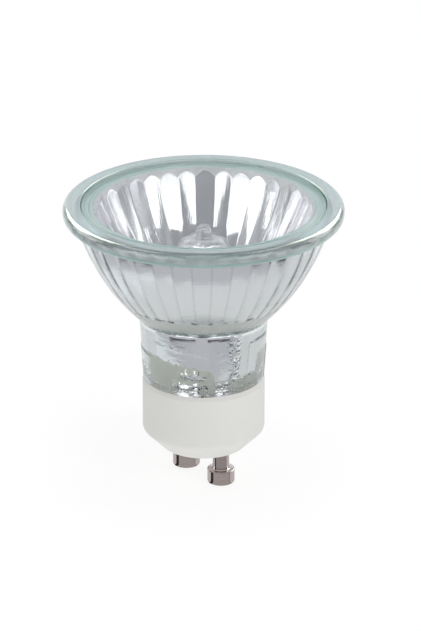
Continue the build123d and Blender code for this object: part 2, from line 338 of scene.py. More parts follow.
def ring_piece(name, rings, columns, materials, ring_materials=None, sharp_rings=(),
               marks=None, shell_starts=(0,), capped=False):
    """A turned or fluted body: rings of points around the axis, each joined to the next.

    A ring is a function of the angle that gives (radius, height). ring_materials gives the material
    of the band that follows each ring. marks are functions of the angle, the height and the ring's
    number. Each shell is closed: its last ring is joined to its first, or both are capped.
    """
    angles = [2 * math.pi * column / columns for column in range(columns)]
    vertices = []
    rows = []
    mark_values = {mark: [] for mark in marks or {}}
    for number, ring in enumerate(rings):
        rows.append(range(len(vertices), len(vertices) + columns))
        for angle in angles:
            radius, z = ring(angle)
            vertices.append(polar(radius, angle, z))
            for mark, values in mark_values.items():
                values.append(marks[mark](angle, z, number))
    faces = []
    caps = []
    face_materials = []
    for start, end in zip(shell_starts, [*shell_starts[1:], len(rings)]):
        for band in range(start, end - 1 if capped else end):
            faces += join_rows(rows[band], rows[band + 1 if band + 1 < end else start])
            face_materials += [ring_materials[band] if ring_materials else 0] * columns
        if capped:
            caps += [rows[start][::-1], rows[end - 1]]
    face_materials += [0] * len(caps)
    sharp = [edge for ring in sharp_rings for edge in beside(rows[ring])]
    return new_piece(name, vertices, faces + caps, materials, face_materials, sharp, marks=mark_values)


def circle_ring(radius, z):
    return lambda angle: (radius, z)


def turned_piece(name, profile, columns, materials, centre_x=0.0, sharp_points=(), closed=True):
    """A plain turned body from (radius, height) points; ends on the axis are closed by a fan."""
    vertices = []
    rows = []
    for radius, z in profile:
        count = columns if radius > 0 else 1
        rows.append(range(len(vertices), len(vertices) + count))
        for column in range(count):
            vertices.append(polar(radius, 2 * math.pi * column / columns, z, centre_x))
    faces = []
    for lower, upper in beside(rows) if closed else zip(rows, rows[1:]):
        faces += join_rows(lower, upper)
    sharp = [edge for point in sharp_points for edge in beside(rows[point])]
    return new_piece(name, vertices, faces, materials, None, sharp)


def along_line(points, reach):
    """Each point of a line, with two directions square to the line; reach is in points."""
    side = Vector((0, 1, 0))
    last = len(points) - 1
    for number, point in enumerate(points):
        ahead = (points[min(number + reach, last)] - points[max(number - reach, 0)]).normalized()
        side = (side - ahead * side.dot(ahead)).normalized()
        yield point, side, ahead.cross(side)


def tube_piece(name, points, radius, sides, materials):
    """A round wire along a list of points, with closed ends."""
    vertices = []
    rows = []
    for point, side, across in along_line(points, 1):
        rows.append(range(len(vertices), len(vertices) + sides))
        for corner in range(sides):
            angle = 2 * math.pi * corner / sides
            place = point + (side * math.cos(angle) + across * math.sin(angle)) * radius
            vertices.append(tuple(place * MM))
    faces = []
    for lower, upper in zip(rows, rows[1:]):
        faces += join_rows(lower, upper)
    faces += [rows[0][::-1], rows[-1]]
    return new_piece(name, vertices, faces, materials)


# Materials
def new_material(name, **values):
    """A Principled material; values are set on the shader's own sockets."""
    material = bpy.data.materials.new(name)
    material.use_nodes = True
    shader = material.node_tree.nodes["Principled BSDF"]
    for socket, value in values.items():
        shader.inputs[socket.replace("_", " ")].default_value = value
    return material, material.node_tree, shader


def add_node(tree, kind, **inputs):
    """A shader node; an input is a value, or the socket of another node that feeds it."""
    node = tree.nodes.new(f"ShaderNode{kind}")
    for name, value in inputs.items():
        socket = node.inputs[name.replace("_", " ")]
        if isinstance(value, bpy.types.NodeSocket):
            tree.links.new(value, socket)
        else:
            socket.default_value = value
    return node


def object_places(tree, stretch):
    """Places in the piece's own space, stretched along its axes."""
    places = add_node(tree, "TexCoord").outputs["Object"]
    return add_node(tree, "Mapping", Vector=places, Scale=stretch).outputs["Vector"]


def add_noise(tree, scale, detail=4.0, roughness=0.55, stretch=(1, 1, 1)):
    """Noise in object space; scale is in features per metre."""
    places = object_places(tree, stretch)
    texture = add_node(tree, "TexNoise", Vector=places, Scale=scale, Detail=detail, Roughness=roughness)
    return texture.outputs["Fac"]


def add_mark(tree, mark):
    """A value that is kept at the piece's vertices."""
    node = add_node(tree, "Attribute")
    node.attribute_name = mark
    return node.outputs["Fac"]


def add_range(tree, value, low, high, to_low, to_high):
    """Maps a value from one range to another."""
    ends = {"From_Min": low, "From_Max": high, "To_Min": to_low, "To_Max": to_high}
    return add_node(tree, "MapRange", Value=value, **ends).outputs["Result"]


def add_math(tree, operation, first, second):
    """One value worked out from two."""
    node = add_node(tree, "Math")
    node.operation = operation
    tree.links.new(first, node.inputs[0])
    tree.links.new(second, node.inputs[1])
    return node.outputs["Value"]


def add_colours(tree, value, *stops):
    """Colour ramp; a stop is (place, colour)."""
    ramp = add_node(tree, "ValToRGB", Fac=value)
    elements = ramp.color_ramp.elements
    while len(elements) < len(stops):
        elements.new(1.0)
    for element, (place, colour) in zip(elements, stops):
        element.position = place
        element.color = (*colour, 1.0)
    return ramp.outputs["Color"]


def vary(shader, socket, value, low, high, to_low, to_high):
    """Lets a value set one of the shader's sockets, mapped from one range to another."""
    tree = shader.id_data
    tree.links.new(add_range(tree, value, low, high, to_low, to_high), shader.inputs[socket])


def tint(shader, value, *stops):
    """Lets a value set the shader's base colour through a ramp."""
    tree = shader.id_data
    tree.links.new(add_colours(tree, value, *stops), shader.inputs["Base Color"])


def add_run_noise(tree, places, scale, along, detail):
    """Noise over places and along the profile; along is in features per millimetre of the profile."""
    texture = add_node(tree, "TexNoise", Vector=places, Scale=scale, Detail=detail)
    texture.noise_dimensions = "4D"
    profile_length = 100
    run = add_range(tree, add_mark(tree, "run"), 0, profile_length, 0, profile_length * along / scale)
    tree.links.new(run, texture.inputs["W"])
    return texture.outputs["Fac"]


def add_streaks(tree, around, along):
    """Noise drawn out around the axis."""
    return add_run_noise(tree, object_places(tree, (1, 1, 1)), around, along, 1.0)


def add_rays(tree, around, along):
    """Noise drawn out away from the axis."""
    heading = add_node(tree, "VectorMath")
    heading.operation = "NORMALIZE"
    tree.links.new(object_places(tree, (1, 1, 0)), heading.inputs[0])
    return add_run_noise(tree, heading.outputs["Vector"], around, along, 2.0)


def add_bump(shader, height, strength, distance, below=None):
    """Bump of a height map, on top of the bump below; distance is in metres."""
    tree = shader.id_data
    bump = add_node(tree, "Bump", Height=height, Strength=strength, Distance=distance)
    if below:
        tree.links.new(below.outputs["Normal"], bump.inputs["Normal"])
    tree.links.new(bump.outputs["Normal"], shader.inputs["Normal"])
    return bump


def add_absorption(tree, colour, density):
    """Tint that grows with the way through the glass."""
    volume = add_node(tree, "VolumeAbsorption", Color=(*colour, 1.0), Density=density)
    tree.links.new(volume.outputs["Volume"], tree.nodes["Material Output"].inputs["Volume"])


def pressed_glass():
    """Clear pressed glass with a green edge and faint ripples, matt where it was not fire-polished."""
    material, tree, shader = new_material(
        "pressed_glass", Base_Color=(0.97, 1.0, 0.985, 1), Roughness=0.0, IOR=1.51, Transmission_Weight=1.0,
        Coat_Roughness=0.04
    )
    ripples = add_bump(shader, add_noise(tree, 260, 2.0), 0.015, 0.0002)
    matt = add_mark(tree, "matt")
    streaks = add_streaks(tree, 55, 5.5)
    add_bump(shader, streaks, 0.1, 0.0002, ripples)
    vary(shader, "Roughness", matt, 0, 0.5, 0.0, 0.38)
    vary(shader, "Transmission Weight", matt, 0, 0.5, 1.0, 0.68)
    vary(shader, "Coat Weight", matt, 0, 0.2, 0.0, 1.0)
    tint(shader, matt, (0.0, (0.97, 0.995, 0.985)), (0.2, (0.62, 0.665, 0.66)),
         (0.3, (0.57, 0.635, 0.63)), (0.5, (0.41, 0.635, 0.6)))
    add_absorption(tree, (0.68, 0.9, 0.885), 18)
    return material


def lens_glass():
    """Thin polished front glass."""
    material, tree, shader = new_material(
        "lens_glass", Base_Color=(0.985, 1.0, 0.995, 1), Roughness=0.0, IOR=1.5, Transmission_Weight=1.0
    )
    add_bump(shader, add_noise(tree, 90, 1.0), 0.03, 0.0002)
    return material


def bonded_glass():
    """Ground seat of the front glass, wetted by the adhesive."""
    material, tree, shader = new_material("bonded_glass", Specular_IOR_Level=0.2)
    grain = add_noise(tree, 700, 3.0)
    tint(shader, add_streaks(tree, 70, 3.5), (0.32, (0.3, 0.62, 0.55)), (0.5, (0.54, 0.78, 0.735)),
         (0.66, (0.9, 0.96, 0.94)))
    vary(shader, "Roughness", grain, 0.3, 0.7, 0.45, 0.65)
    return material


def mirror_coating():
    """Aluminium coating on the facets, with faint ripples and pinholes of haze; painted shade darkens it
    along the creases between facets.
    """
    material, tree, shader = new_material(
        "mirror_coating", Base_Color=(0.83, 0.82, 0.845, 1), Metallic=1.0, Roughness=0.035
    )
    ripple = add_bump(shader, add_noise(tree, 420, 3.0, 0.5, (1, 1, 0.3)), 0.08, 0.0002)
    add_bump(shader, add_rays(tree, 75, 0.22), 0.4, 0.00002, ripple)
    haze = add_noise(tree, 900, 3.0)
    vary(shader, "Roughness", haze, 0.4, 0.75, 0.02, 0.09)
    # Painted shade: the mirror's colour is darker along the creases between facets
    tint(shader, add_mark(tree, "groove"), (0.0, (0.83, 0.82, 0.845)), (1.0, (0.72, 0.715, 0.74)))
    return material


def neck_coating():
    """The same coating in the neck; it ends in ragged edges, and cement shows where it is missing."""
    material, tree, shader = new_material("neck_coating")
    rag = add_noise(tree, 1500, 5.0, 0.75)
    drift = add_math(tree, "ADD", add_range(tree, rag, 0.3, 0.7, -0.8, 0.8), add_mark(tree, "coat"))
    coated = add_range(tree, drift, -0.05, 0.05, 0.0, 1.0)
    tint(shader, coated, (0.0, (0.82, 0.805, 0.75)), (1.0, (0.83, 0.82, 0.845)))
    tree.links.new(coated, shader.inputs["Metallic"])
    vary(shader, "Roughness", coated, 0, 1, 0.75, 0.05)
    add_bump(shader, add_noise(tree, 600, 3.0, 0.5, (1, 1, 2)), 0.12, 0.0002)
    return material


def dull_coating():
    """Thin, dull edge of the coating beside the lens ledge."""
    material, tree, shader = new_material("dull_coating", Metallic=0.4)
    cloud = add_noise(tree, 350, 4.0, 0.6)
    tint(shader, cloud, (0.4, (0.8, 0.8, 0.78)), (0.58, (0.99, 0.99, 0.97)))
    vary(shader, "Roughness", cloud, 0.3, 0.7, 0.3, 0.5)
    add_bump(shader, add_noise(tree, 1200, 4.0), 0.3, 0.0002)
    return material


def coating_end_painted_dark():
    """End of the coating above the bare glass, with patches of painted dark reflection."""
    material, tree, shader = new_material("coating_end_painted_dark", Metallic=1.0, Roughness=0.1)
    patches = add_noise(tree, 650, 2.0)
    # Painted reflection: near-black patches stand in for the ragged coating end mirroring dark surroundings
    tint(shader, patches, (0.44, (0.07, 0.07, 0.075)), (0.5, (0.83, 0.82, 0.845)))
    return material


def white_ceramic():
    """Unglazed white ceramic with a fine grain and faint cloudy tone."""
    material, tree, shader = new_material("white_ceramic", Specular_IOR_Level=0.35)
    cloud = add_noise(tree, 60, 3.0)
    tint(shader, cloud, (0.3, (0.755, 0.755, 0.725)), (0.7, (0.795, 0.79, 0.76)))
    grain = add_noise(tree, 2600, 4.0, 0.6)
    vary(shader, "Roughness", grain, 0.3, 0.7, 0.5, 0.66)
    add_bump(shader, grain, 0.12, 0.00008)
    return material


def pin_nickel():
    """Dull, slightly pink nickel plate with turning marks."""
    material, tree, shader = new_material(
        "pin_nickel", Base_Color=(0.56, 0.5, 0.485, 1), Metallic=1.0, Roughness=0.2
    )
    marks = add_noise(tree, 300, 3.0, 0.6, (1, 1, 40))
    vary(shader, "Roughness", marks, 0.3, 0.7, 0.09, 0.18)
    tint(shader, marks, (0.25, (0.52, 0.46, 0.45)), (0.75, (0.6, 0.54, 0.52)))
    add_bump(shader, marks, 0.04, 0.00006)
    return material


def quartz():
    """Clear quartz of the capsule, drawn slightly uneven by hand heat."""
    material, tree, shader = new_material(
        "quartz", Base_Color=(0.92, 0.925, 0.93, 1), Roughness=0.0, IOR=1.458, Transmission_Weight=1.0,
        Coat_Weight=1.0, Coat_Roughness=0.0, Coat_IOR=2.0
    )
    waves = add_bump(shader, add_noise(tree, 700, 2.0), 0.8, 0.00018)
    slant = add_node(tree, "LayerWeight", Blend=0.4, Normal=waves.outputs["Normal"])
    vary(shader, "Transmission Weight", slant.outputs["Facing"], 0.3, 0.9, 1.0, 0.3)
    return material


def grained(name, grain, rough, tones=None, bump=None, **values):
    """A material whose roughness, and where given its tone and height, follow one noise."""
    material, tree, shader = new_material(name, **values)
    speckle = add_noise(tree, *grain)
    vary(shader, "Roughness", speckle, 0.3, 0.7, *rough)
    if tones:
        dark, light = tones
        tint(shader, speckle, (0.3, dark), (0.7, light))
    if bump:
        add_bump(shader, speckle, *bump)
    return material


glass = pressed_glass()
front_glass = lens_glass()
bonded = bonded_glass()
mirror = mirror_coating()
neck_mirror = neck_coating()
dull_mirror = dull_coating()
mirror_end_painted_dark = coating_end_painted_dark()
ceramic = white_ceramic()
nickel = pin_nickel()
quartz_glass = quartz()

# Ground edge of the front glass, clear adhesive, rough cement, and drawn or rolled metals
edge_glass = grained("ground_glass", (1800, 3.0), rough=(0.35, 0.55), Base_Color=(0.45, 0.74, 0.68, 1),
                     IOR=1.5, Transmission_Weight=0.45)
adhesive = grained("silicone", (500,), rough=(0.12, 0.3), Base_Color=(0.93, 0.97, 0.95, 1),
                   IOR=1.42, Transmission_Weight=0.9)
cement = {"grain": (1500, 6.0, 0.7), "rough": (0.7, 0.95), "bump": (0.5, 0.0002)}
cement_grey = grained("cement", tones=((0.5, 0.495, 0.44), (0.68, 0.67, 0.61)), **cement)
spigot_cement = grained("spigot_cement", tones=((0.93, 0.925, 0.88), (0.99, 0.985, 0.95)), **cement)
tungsten = grained("tungsten", (2200, 3.0, 0.6), rough=(0.35, 0.55),
                   tones=((0.16, 0.155, 0.15), (0.3, 0.29, 0.285)), Metallic=1.0)
lead_wire = grained("lead_wire", (1500, 3.0, 0.6, (1, 1, 0.1)), rough=(0.25, 0.4),
                    tones=((0.42, 0.4, 0.38), (0.6, 0.58, 0.55)), Metallic=1.0)
foil_metal = grained("foil_metal", (900, 3.0, 0.6, (1, 1, 0.05)), rough=(0.25, 0.45),
                     tones=((0.5, 0.5, 0.5), (0.68, 0.68, 0.67)), Metallic=1.0)


# Reflector: rings run up the outside, over the rim, down the mirror side and through the neck
def arc_points(centre, radius, start, end, steps):
    """Points on an arc in the (r, z) plane, angles in degrees."""
    turns = [math.radians(turn) for turn in spread(start, end, steps)]
    return [(centre[0] + radius * math.cos(turn), centre[1] + radius * math.sin(turn)) for turn in turns]


neck_rows = 52
bowl_rows = 40
band_rows = 4
facet_rows = 36
bore_rows = 90
low_corner_rows = 8
high_corner_rows = 10
lip_rows = 4
waist_steps = [(0.02, -waist_round), (0.16, 0.06)]
lip_round = 0.2
lip_foot = 0.1
ledge_lap = 0.02

# How matt the glass is: at the bowl's upper edge, below and above on the rim, and in the lens recess
matt_edge = 0.25
matt_below = 0.5
matt_above = 0.3
matt_recess = 0.2

# Degrees around the rim's lower corner where the lower tone ends and the upper one starts
matt_below_end = -8
matt_above_start = -4


def build_reflector():
    columns = facet_count * facet_columns
    rings = []
    ring_materials = []
    sharp_rings = []
    matt = []
    glass_index, mirror_index, neck_index, cement_index, bond_index, dull_index, end_index = range(7)

    def add(ring, material=glass_index, sharp=False, rough=0.0):
        if sharp:
            sharp_rings.append(len(rings))
        rings.append(ring)
        ring_materials.append(material)
        matt.append(rough)

    def add_points(points, material=glass_index, rough=0.0):
        for radius, z in points:
            add(circle_ring(radius, z), material, rough=rough)

    # Neck, with the pads
    neck_foot = base_top + clearance
    waist_start = neck_top - 2 * waist_round

    def neck_ring(z):
        return lambda angle: (neck_radius(z) + pad_rise * pad_cover(angle, z), z)

    for row, z in enumerate(spread(neck_foot, waist_start, neck_rows)):
        add(neck_ring(z), sharp=row == 0)

    # Bowl, from the waist to the underside of the rim
    start = math.degrees(math.atan2(bowl_foot[1] - bowl_centre_z, bowl_foot[0] - bowl_centre_r))
    end = math.degrees(math.atan2(bowl_head[1] - bowl_centre_z, bowl_head[0] - bowl_centre_r))
    bowl_points = arc_points((bowl_centre_r, bowl_centre_z), bowl_curve_radius, start, end, bowl_rows)
    add_points([(neck_top_radius + out, neck_top + up) for out, up in waist_steps])
    add_points(bowl_points[1:-1])
    add(circle_ring(*bowl_points[-1]), sharp=True, rough=matt_edge)

    # Rim and lens recess
    low_corner = (rim_radius - rim_edge_round, rim_bottom + rim_edge_round)
    high_corner = (rim_radius - rim_edge_round, rim_top - rim_edge_round)
    recess = recess_radius + clearance
    ledge = lens_seat - clearance
    lip = (recess + lip_round, rim_top - lip_round)
    below = arc_points(low_corner, rim_edge_round, -90, matt_below_end, low_corner_rows)
    above = arc_points(low_corner, rim_edge_round, matt_above_start, 0, 1)
    above += arc_points(high_corner, rim_edge_round, 0, 90, high_corner_rows)
    above += arc_points(lip, lip_round, 90, 180, lip_rows)
    add_points(below, rough=matt_below)
    add_points(above, rough=matt_above)
    add(circle_ring(recess, rim_top - lip_round - lip_foot), bond_index, rough=matt_recess)
    add(circle_ring(recess, ledge), bond_index, sharp=True)
    add(circle_ring(band_radius(ledge) + ledge_lap, ledge), bond_index)

    # Plain band and facets: each column has its own arch height
    tops = []
    for column in range(columns):
        offset_columns = (column + facet_columns // 2) % facet_columns - facet_columns // 2
        offset = 2 * math.pi * offset_columns / columns
        tops.append((offset, facet_top(offset)))

    def column_of(angle):
        return round(angle * columns / (2 * math.pi)) % columns

    def band_ring(share):
        def ring(angle):
            _, top = tops[column_of(angle)]
            z = ledge + (top - ledge) * share
            return band_radius(z), z
        return ring

    def facet_ring(share):
        def ring(angle):
            offset, top = tops[column_of(angle)]
            z = top + (facet_foot - top) * share
            return facet_radius(offset, z), z
        return ring

    for row in range(band_rows):
        add(band_ring(row / band_rows), dull_index, sharp=row == 0)
    facet_rings = range(len(rings), len(rings) + facet_rows + 1)
    coated_rows = facet_rows - facet_bare_rows
    for row in range(facet_rows + 1):
        index = cement_index if row >= coated_rows else mirror_index
        # The last coated row takes the coating end, with its painted dark reflections
        if row == coated_rows - 1:
            index = end_index
        if row >= facet_rows - facet_throat_rows:
            index = neck_index
        add(facet_ring(row / facet_rows), index, sharp=row == facet_rows)

    # Neck bore, down to the bed of cement on which the neck stands
    for row, z in enumerate(spread(facet_foot, neck_foot, bore_rows)):
        add(bore_ring(z), neck_index, sharp=row in (0, bore_rows))
    bed_rings = (0, len(rings) - 1)

    # Spigot, bedded in cement inside the base
    spigot_start = len(rings)
    for radius, z in (
        (spigot_radius - clearance, spigot_foot),
        (spigot_radius - clearance, base_top),
        (bore_radius(base_top) + clearance, base_top),
        (bore_radius(spigot_foot) + clearance, spigot_foot),
    ):
        add(circle_ring(radius, z), cement_index, sharp=True)

    runs = [0.0]
    for ring, following in zip(rings, rings[1:]):
        runs.append(runs[-1] + math.dist(ring(0.0), following(0.0)))

    # Marks the crease between facets, where shade is painted into the mirror's colour
    def groove(angle, z, ring):
        return float(ring in facet_rings and column_of(angle) % facet_columns == facet_columns // 2)

    marks = {
        "groove": groove,
        "matt": lambda angle, z, ring: matt[ring],
        "run": lambda angle, z, ring: runs[ring],
        "coat": lambda angle, z, ring: bed_coat if ring in bed_rings else coat_reach(angle, z),
    }
    materials = [glass, mirror, neck_mirror, spigot_cement, bonded, dull_mirror, mirror_end_painted_dark]
    return ring_piece("reflector_glass", rings, columns, materials, ring_materials, sharp_rings, marks,
                      (0, spigot_start))


reflector = build_reflector()
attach(reflector, "root")
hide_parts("reflector")


# Front lens and its bond
lens_columns = 180
lens_edge = 0.25
lens_foot_edge = 0.08
bond_sag = 0.08


def build_lens():
    radius = lens_high.x - clearance
    profile = [
        (0, lens_low.z),
        (radius - lens_foot_edge, lens_low.z),
        (radius, lens_low.z + lens_foot_edge),
        (radius, lens_high.z - lens_edge),
        (radius - lens_edge, lens_high.z),
        (0, lens_high.z),
    ]
    materials = [front_glass, edge_glass]
    edges = (1, 2, 3, 4)
    disc = turned_piece("lens_disc", profile, lens_columns, materials, sharp_points=edges, closed=False)
    level = 0.9
    for face in disc.data.polygons:
        face.material_index = int(abs(face.normal.z) < level)
    return disc


lens = build_lens()
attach(lens, "root")
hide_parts("front_lens")


def build_bond():
    inner = lens_high.x
    outer = bond_high.x
    profile = [(inner, bond_low.z + clearance), (outer, bond_low.z + clearance), (outer, bond_high.z),
               ((inner + outer) / 2, bond_high.z - bond_sag), (inner, bond_high.z)]
    return turned_piece("lens_bond_bead", profile, lens_columns, [adhesive])


bond = build_bond()
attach(bond, "root")
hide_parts("lens_bond")

# Contact pins, with rounded heads
pin_head_radius = 2.5
pin_head_length = 2.7
pin_shank_radius = 1.5
pin_end_round = 0.4
pin_back_round = 0.12
pin_face_radius = 1.2
pin_face_hollow = 0.03
pin_fillet = [(0.25, 0.0), (0.05, 0.06), (0.0, 0.2), (0.0, 0.23)]
edge_hold = 0.03
pin_columns = 72
pin_end_rows = 5
pin_back_rows = 3


def build_pin(side):
    low, high = box_mm(f"contact_pin_{side}")
    centre_x = low.x + pin_head_radius
    end_centre = (pin_head_radius - pin_end_round, pin_end_round)
    back_centre = (pin_head_radius - pin_back_round, pin_head_length - pin_back_round)
    profile = [(0, low.z + pin_face_hollow), (pin_face_radius, low.z)]
    profile += arc_points(end_centre, pin_end_round, -90, 0, pin_end_rows)
    profile += [
        (pin_head_radius, pin_end_round + edge_hold),
        (pin_head_radius, pin_head_length - pin_back_round - edge_hold),
    ]
    profile += arc_points(back_centre, pin_back_round, 0, 90, pin_back_rows)
    profile += [(pin_shank_radius + out, pin_head_length + up) for out, up in pin_fillet]
    profile += [(pin_shank_radius, high.z - edge_hold), (pin_shank_radius, high.z), (0, high.z)]
    return turned_piece(f"pin_{side}", profile, pin_columns, [nickel], centre_x, closed=False)


for side in ("left", "right"):
    pin = build_pin(side)
    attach(pin, "root")
    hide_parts(f"contact_pin_{side}")

# Quartz capsule: flat pinch, round tube, domed head and a melted exhaust tip
pinch_half_width = 4.5
pinch_half_web = 1.2
pinch_half_rail = 1.6
pinch_rail_width = 1.3
pinch_length = 13.5
shoulder_height = 3.0
capsule_wall = 1.0
head_height = 4.6
dome_height = 2.0
dome_bluntness = 0.55
lobe_count = 7
lobe_depth = 0.3
tip_radius = 1.6
tip_neck = 0.82
knob_start = -42.0
melt_depth = 0.16
melt_scale = 520
melt_fade = 0.8
cavity_dome_drop = 0.4
cavity_chamfer = 0.6
capsule_columns = 96
pinch_rows = 8
shoulder_rows = 8
tube_rows = 10
dome_rows = 14
knob_rows = 14
cavity_rows = 10
axis_gap = 0.02


def pinch_radius(angle):
    """Distance from the axis to the outline of the pinch, which has a thick rail at each end."""
    tiny = 1e-6
    across = max(abs(math.cos(angle)), tiny)
    through = max(abs(math.sin(angle)), tiny)
    web = pinch_half_web / through
    rail = (pinch_half_rail - clearance) / through
    end = (pinch_half_width - clearance) / across
    in_rail = rail * across > pinch_half_width - pinch_rail_width
    return min(end, rail if in_rail else web)


def build_capsule():
    """Outside and cavity are two closed skins of one piece."""
    foot = capsule_low.z
    pinch_top = foot + pinch_length
    tube_foot = pinch_top + shoulder_height
    tip_top = capsule_high.z
    dome_foot = tip_top - head_height
    rings = [circle_ring(axis_gap, foot)]

    def blend_ring(share, z):
        """From the outline of the pinch, at a share of 0, to the round tube."""
        blend = smooth_step(share)
        return lambda angle: (pinch_radius(angle) * (1 - blend) + capsule_radius * blend, z)

    def melted(radius, z):
        """Head of the capsule, slightly uneven."""
        def ring(angle):
            wave = noise.noise(Vector(polar(radius, angle, z)) * melt_scale)
            lobe = math.cos(lobe_count * (angle - camera_side)) - 1
            melt = melt_depth * wave + lobe_depth * lobe * (radius - tip_radius) / capsule_radius
            return radius + melt * smooth_step((z - dome_foot) / melt_fade), z
        return ring

    rings += [blend_ring(0, z) for z in spread(foot, pinch_top, pinch_rows)]
    for share in spread(0, 1, shoulder_rows)[1:]:
        rings.append(blend_ring(share, pinch_top + shoulder_height * share))
    rings += [circle_ring(capsule_radius, z) for z in spread(tube_foot, dome_foot, tube_rows)[1:]]
    neck = tip_radius * tip_neck
    for turn in spread(0, math.pi / 2, dome_rows)[1:]:
        radius = neck + (capsule_radius - neck) * math.cos(turn) ** dome_bluntness
        rings.append(melted(radius, dome_foot + dome_height * math.sin(turn)))
    knob = arc_points((0, tip_top - tip_radius), tip_radius, knob_start, 90, knob_rows)
    rings += [melted(radius, z) for radius, z in knob[:-1]]
    rings.append(circle_ring(axis_gap, tip_top))
    cavity_start = len(rings)
    cavity_radius = capsule_radius - capsule_wall
    cavity_top = dome_foot + dome_height - capsule_wall
    cavity_dome = dome_height - cavity_dome_drop
    rings.append(circle_ring(axis_gap, cavity_top))
    for turn in spread(math.pi / 2, 0, cavity_rows)[1:]:
        z = cavity_top - cavity_dome + cavity_dome * math.sin(turn)
        rings.append(circle_ring(cavity_radius * math.cos(turn), z))
    rings.append(circle_ring(cavity_radius, tube_foot + cavity_chamfer))
    rings.append(circle_ring(cavity_radius - cavity_chamfer, tube_foot))
    rings.append(circle_ring(axis_gap, tube_foot))
    return ring_piece("quartz_capsule", rings, capsule_columns, [quartz_glass],
                      shell_starts=(0, cavity_start), capped=True)


capsule = build_capsule()
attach(capsule, "root")
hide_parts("capsule")

# Filament: a coil wound along four legs
coil_legs = 4
coil_wire_radius = 0.05
coil_pitch = 0.2
coil_steps = 10
coil_bend_rise = 0.5
coil_wire_sides = 5
tangent_reach = 3


def coil_route():
    """Corner points of the folded coil, in the plane of the two leads."""
    outer = (filament_high.x - filament_low.x) / 2
    coil_radius = (filament_high.y - filament_low.y) / 2
    width = 2 * (outer - coil_radius)
    pitch = width / (coil_legs - 1)
    low = filament_low.z
    top = filament_high.z - coil_radius - coil_bend_rise
    points = [Vector((-width / 2, 0, low))]
    for bend in range(coil_legs - 1):
        middle = (bend + 0.5) * pitch - width / 2
        upper = bend % 2 == 0
        root = top if upper else low + coil_bend_rise
        tip = root + (coil_bend_rise if upper else -coil_bend_rise)
        for quarters, height in ((-2, root), (-1, tip), (1, tip), (2, root)):
            points.append(Vector((middle + quarters * pitch / 4, 0, height)))
    points.append(Vector((width / 2, 0, low)))
    return points, coil_radius


def build_filament():
    corners, coil_radius = coil_route()
    centre_line = []
    step = coil_pitch / coil_steps
    for start, end in zip(corners, corners[1:]):
        count = max(1, round((end - start).length / step))
        centre_line += [start.lerp(end, number / count) for number in range(count)]
    winding = []
    for number, (point, side, across) in enumerate(along_line(centre_line, tangent_reach)):
        angle = 2 * math.pi * number / coil_steps
        heading = side * math.cos(angle) + across * math.sin(angle)
        winding.append(point + heading * (coil_radius - coil_wire_radius))
    return tube_piece("filament_coil", winding, coil_wire_radius, coil_wire_sides, [tungsten])


filament = build_filament()
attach(filament, "root")
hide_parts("filament")

# CAD nodes whose own shape is shown
shown_nodes = [
    (ceramic, ["ceramic_base"]),
    (cement_grey, ["neck_cement", "capsule_cement"]),
    (lead_wire, ["inner_lead_left", "inner_lead_right", "outer_lead_left", "outer_lead_right"]),
    (foil_metal, ["foil_left", "foil_right"]),
    (tungsten, ["filament_support_1", "filament_support_2", "filament_support_3"]),
]
for material, nodes in shown_nodes:
    for node in nodes:
        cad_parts[node].material_slots[0].material = material


# Stage: the floor, and cards around the lamp that show only in mirrors and glass
def emission_material(name, colour, strength):
    material, tree, shader = new_material(name)
    tree.nodes.remove(shader)
    light = add_node(tree, "Emission", Color=(*colour, 1), Strength=strength)
    tree.links.new(light.outputs["Emission"], tree.nodes["Material Output"].inputs["Surface"])
    return material


def floor_material():
    """Pale floor that keeps the lamp's shadow and is lifted to white by a little light of its own."""
    material, _, _ = new_material(
        "pale_floor", Base_Color=(0.3, 0.3, 0.3, 1), Roughness=1.0, Specular_IOR_Level=0.0,
        Emission_Color=(1, 1, 1, 1), Emission_Strength=0.78
    )
    return material


def strip_piece(name, sections, material, centre_x=0.0):
    """A flat-shaded band around the axis or around a place on the X axis.

    A section is (degrees right of the camera's direction, one edge, other edge), an edge (radius, height).
    """
    vertices = []
    for turn, *edges in sections:
        angle = camera_side + math.radians(turn)
        for radius, height in edges:
            vertices.append(polar(radius, angle, height, centre_x))
    corners = range(0, len(vertices) - 2, 2)
    faces = [(corner, corner + 1, corner + 3, corner + 2) for corner in corners]
    return new_piece(name, vertices, faces, [material], smooth=False)


def only_in_reflections(card):
    """Cards show in mirrors and glass, and neither light nor shade anything else."""
    card.visible_camera = False
    card.visible_diffuse = False
    card.visible_shadow = False
    card.visible_volume_scatter = False
    return card


card_steps = 12


def dome_card(name, left, right, low, high, radius, material, lean_left=0, lean_right=0):
    """Part of a dome around the lamp, from left to right in degrees right of the camera's direction.

    The leans are the degrees that the left and right edges move in by towards the top.
    """
    vertices = []
    for share in spread(0, 1, card_steps):
        elevation = math.radians(low + (high - low) * share)
        for turn in spread(left + lean_left * share, right - lean_right * share, card_steps):
            angle = camera_side + math.radians(turn)
            vertices.append(polar(radius * math.cos(elevation), angle, radius * math.sin(elevation)))
    faces = []
    above = card_steps + 1
    for row in range(card_steps):
        for column in range(card_steps):
            corner = row * above + column
            faces.append((corner, corner + 1, corner + above + 1, corner + above))
    return only_in_reflections(new_piece(name, vertices, faces, [material]))


def floor_card(name, edge, outer, material, height):
    """A card just above the floor; edge lists (degrees right of the camera's direction, inner radius)."""
    sections = [(turn, (inner, height), (outer, height)) for turn, inner in edge]
    only_in_reflections(strip_piece(name, sections, material))


floor_radius = 3000
floor_columns = 96
axis_radius = 0.001
floor_sections = [(turn, (axis_radius, 0), (floor_radius, 0)) for turn in spread(-180, 180, floor_columns)]
floor = strip_piece("floor", floor_sections, floor_material())

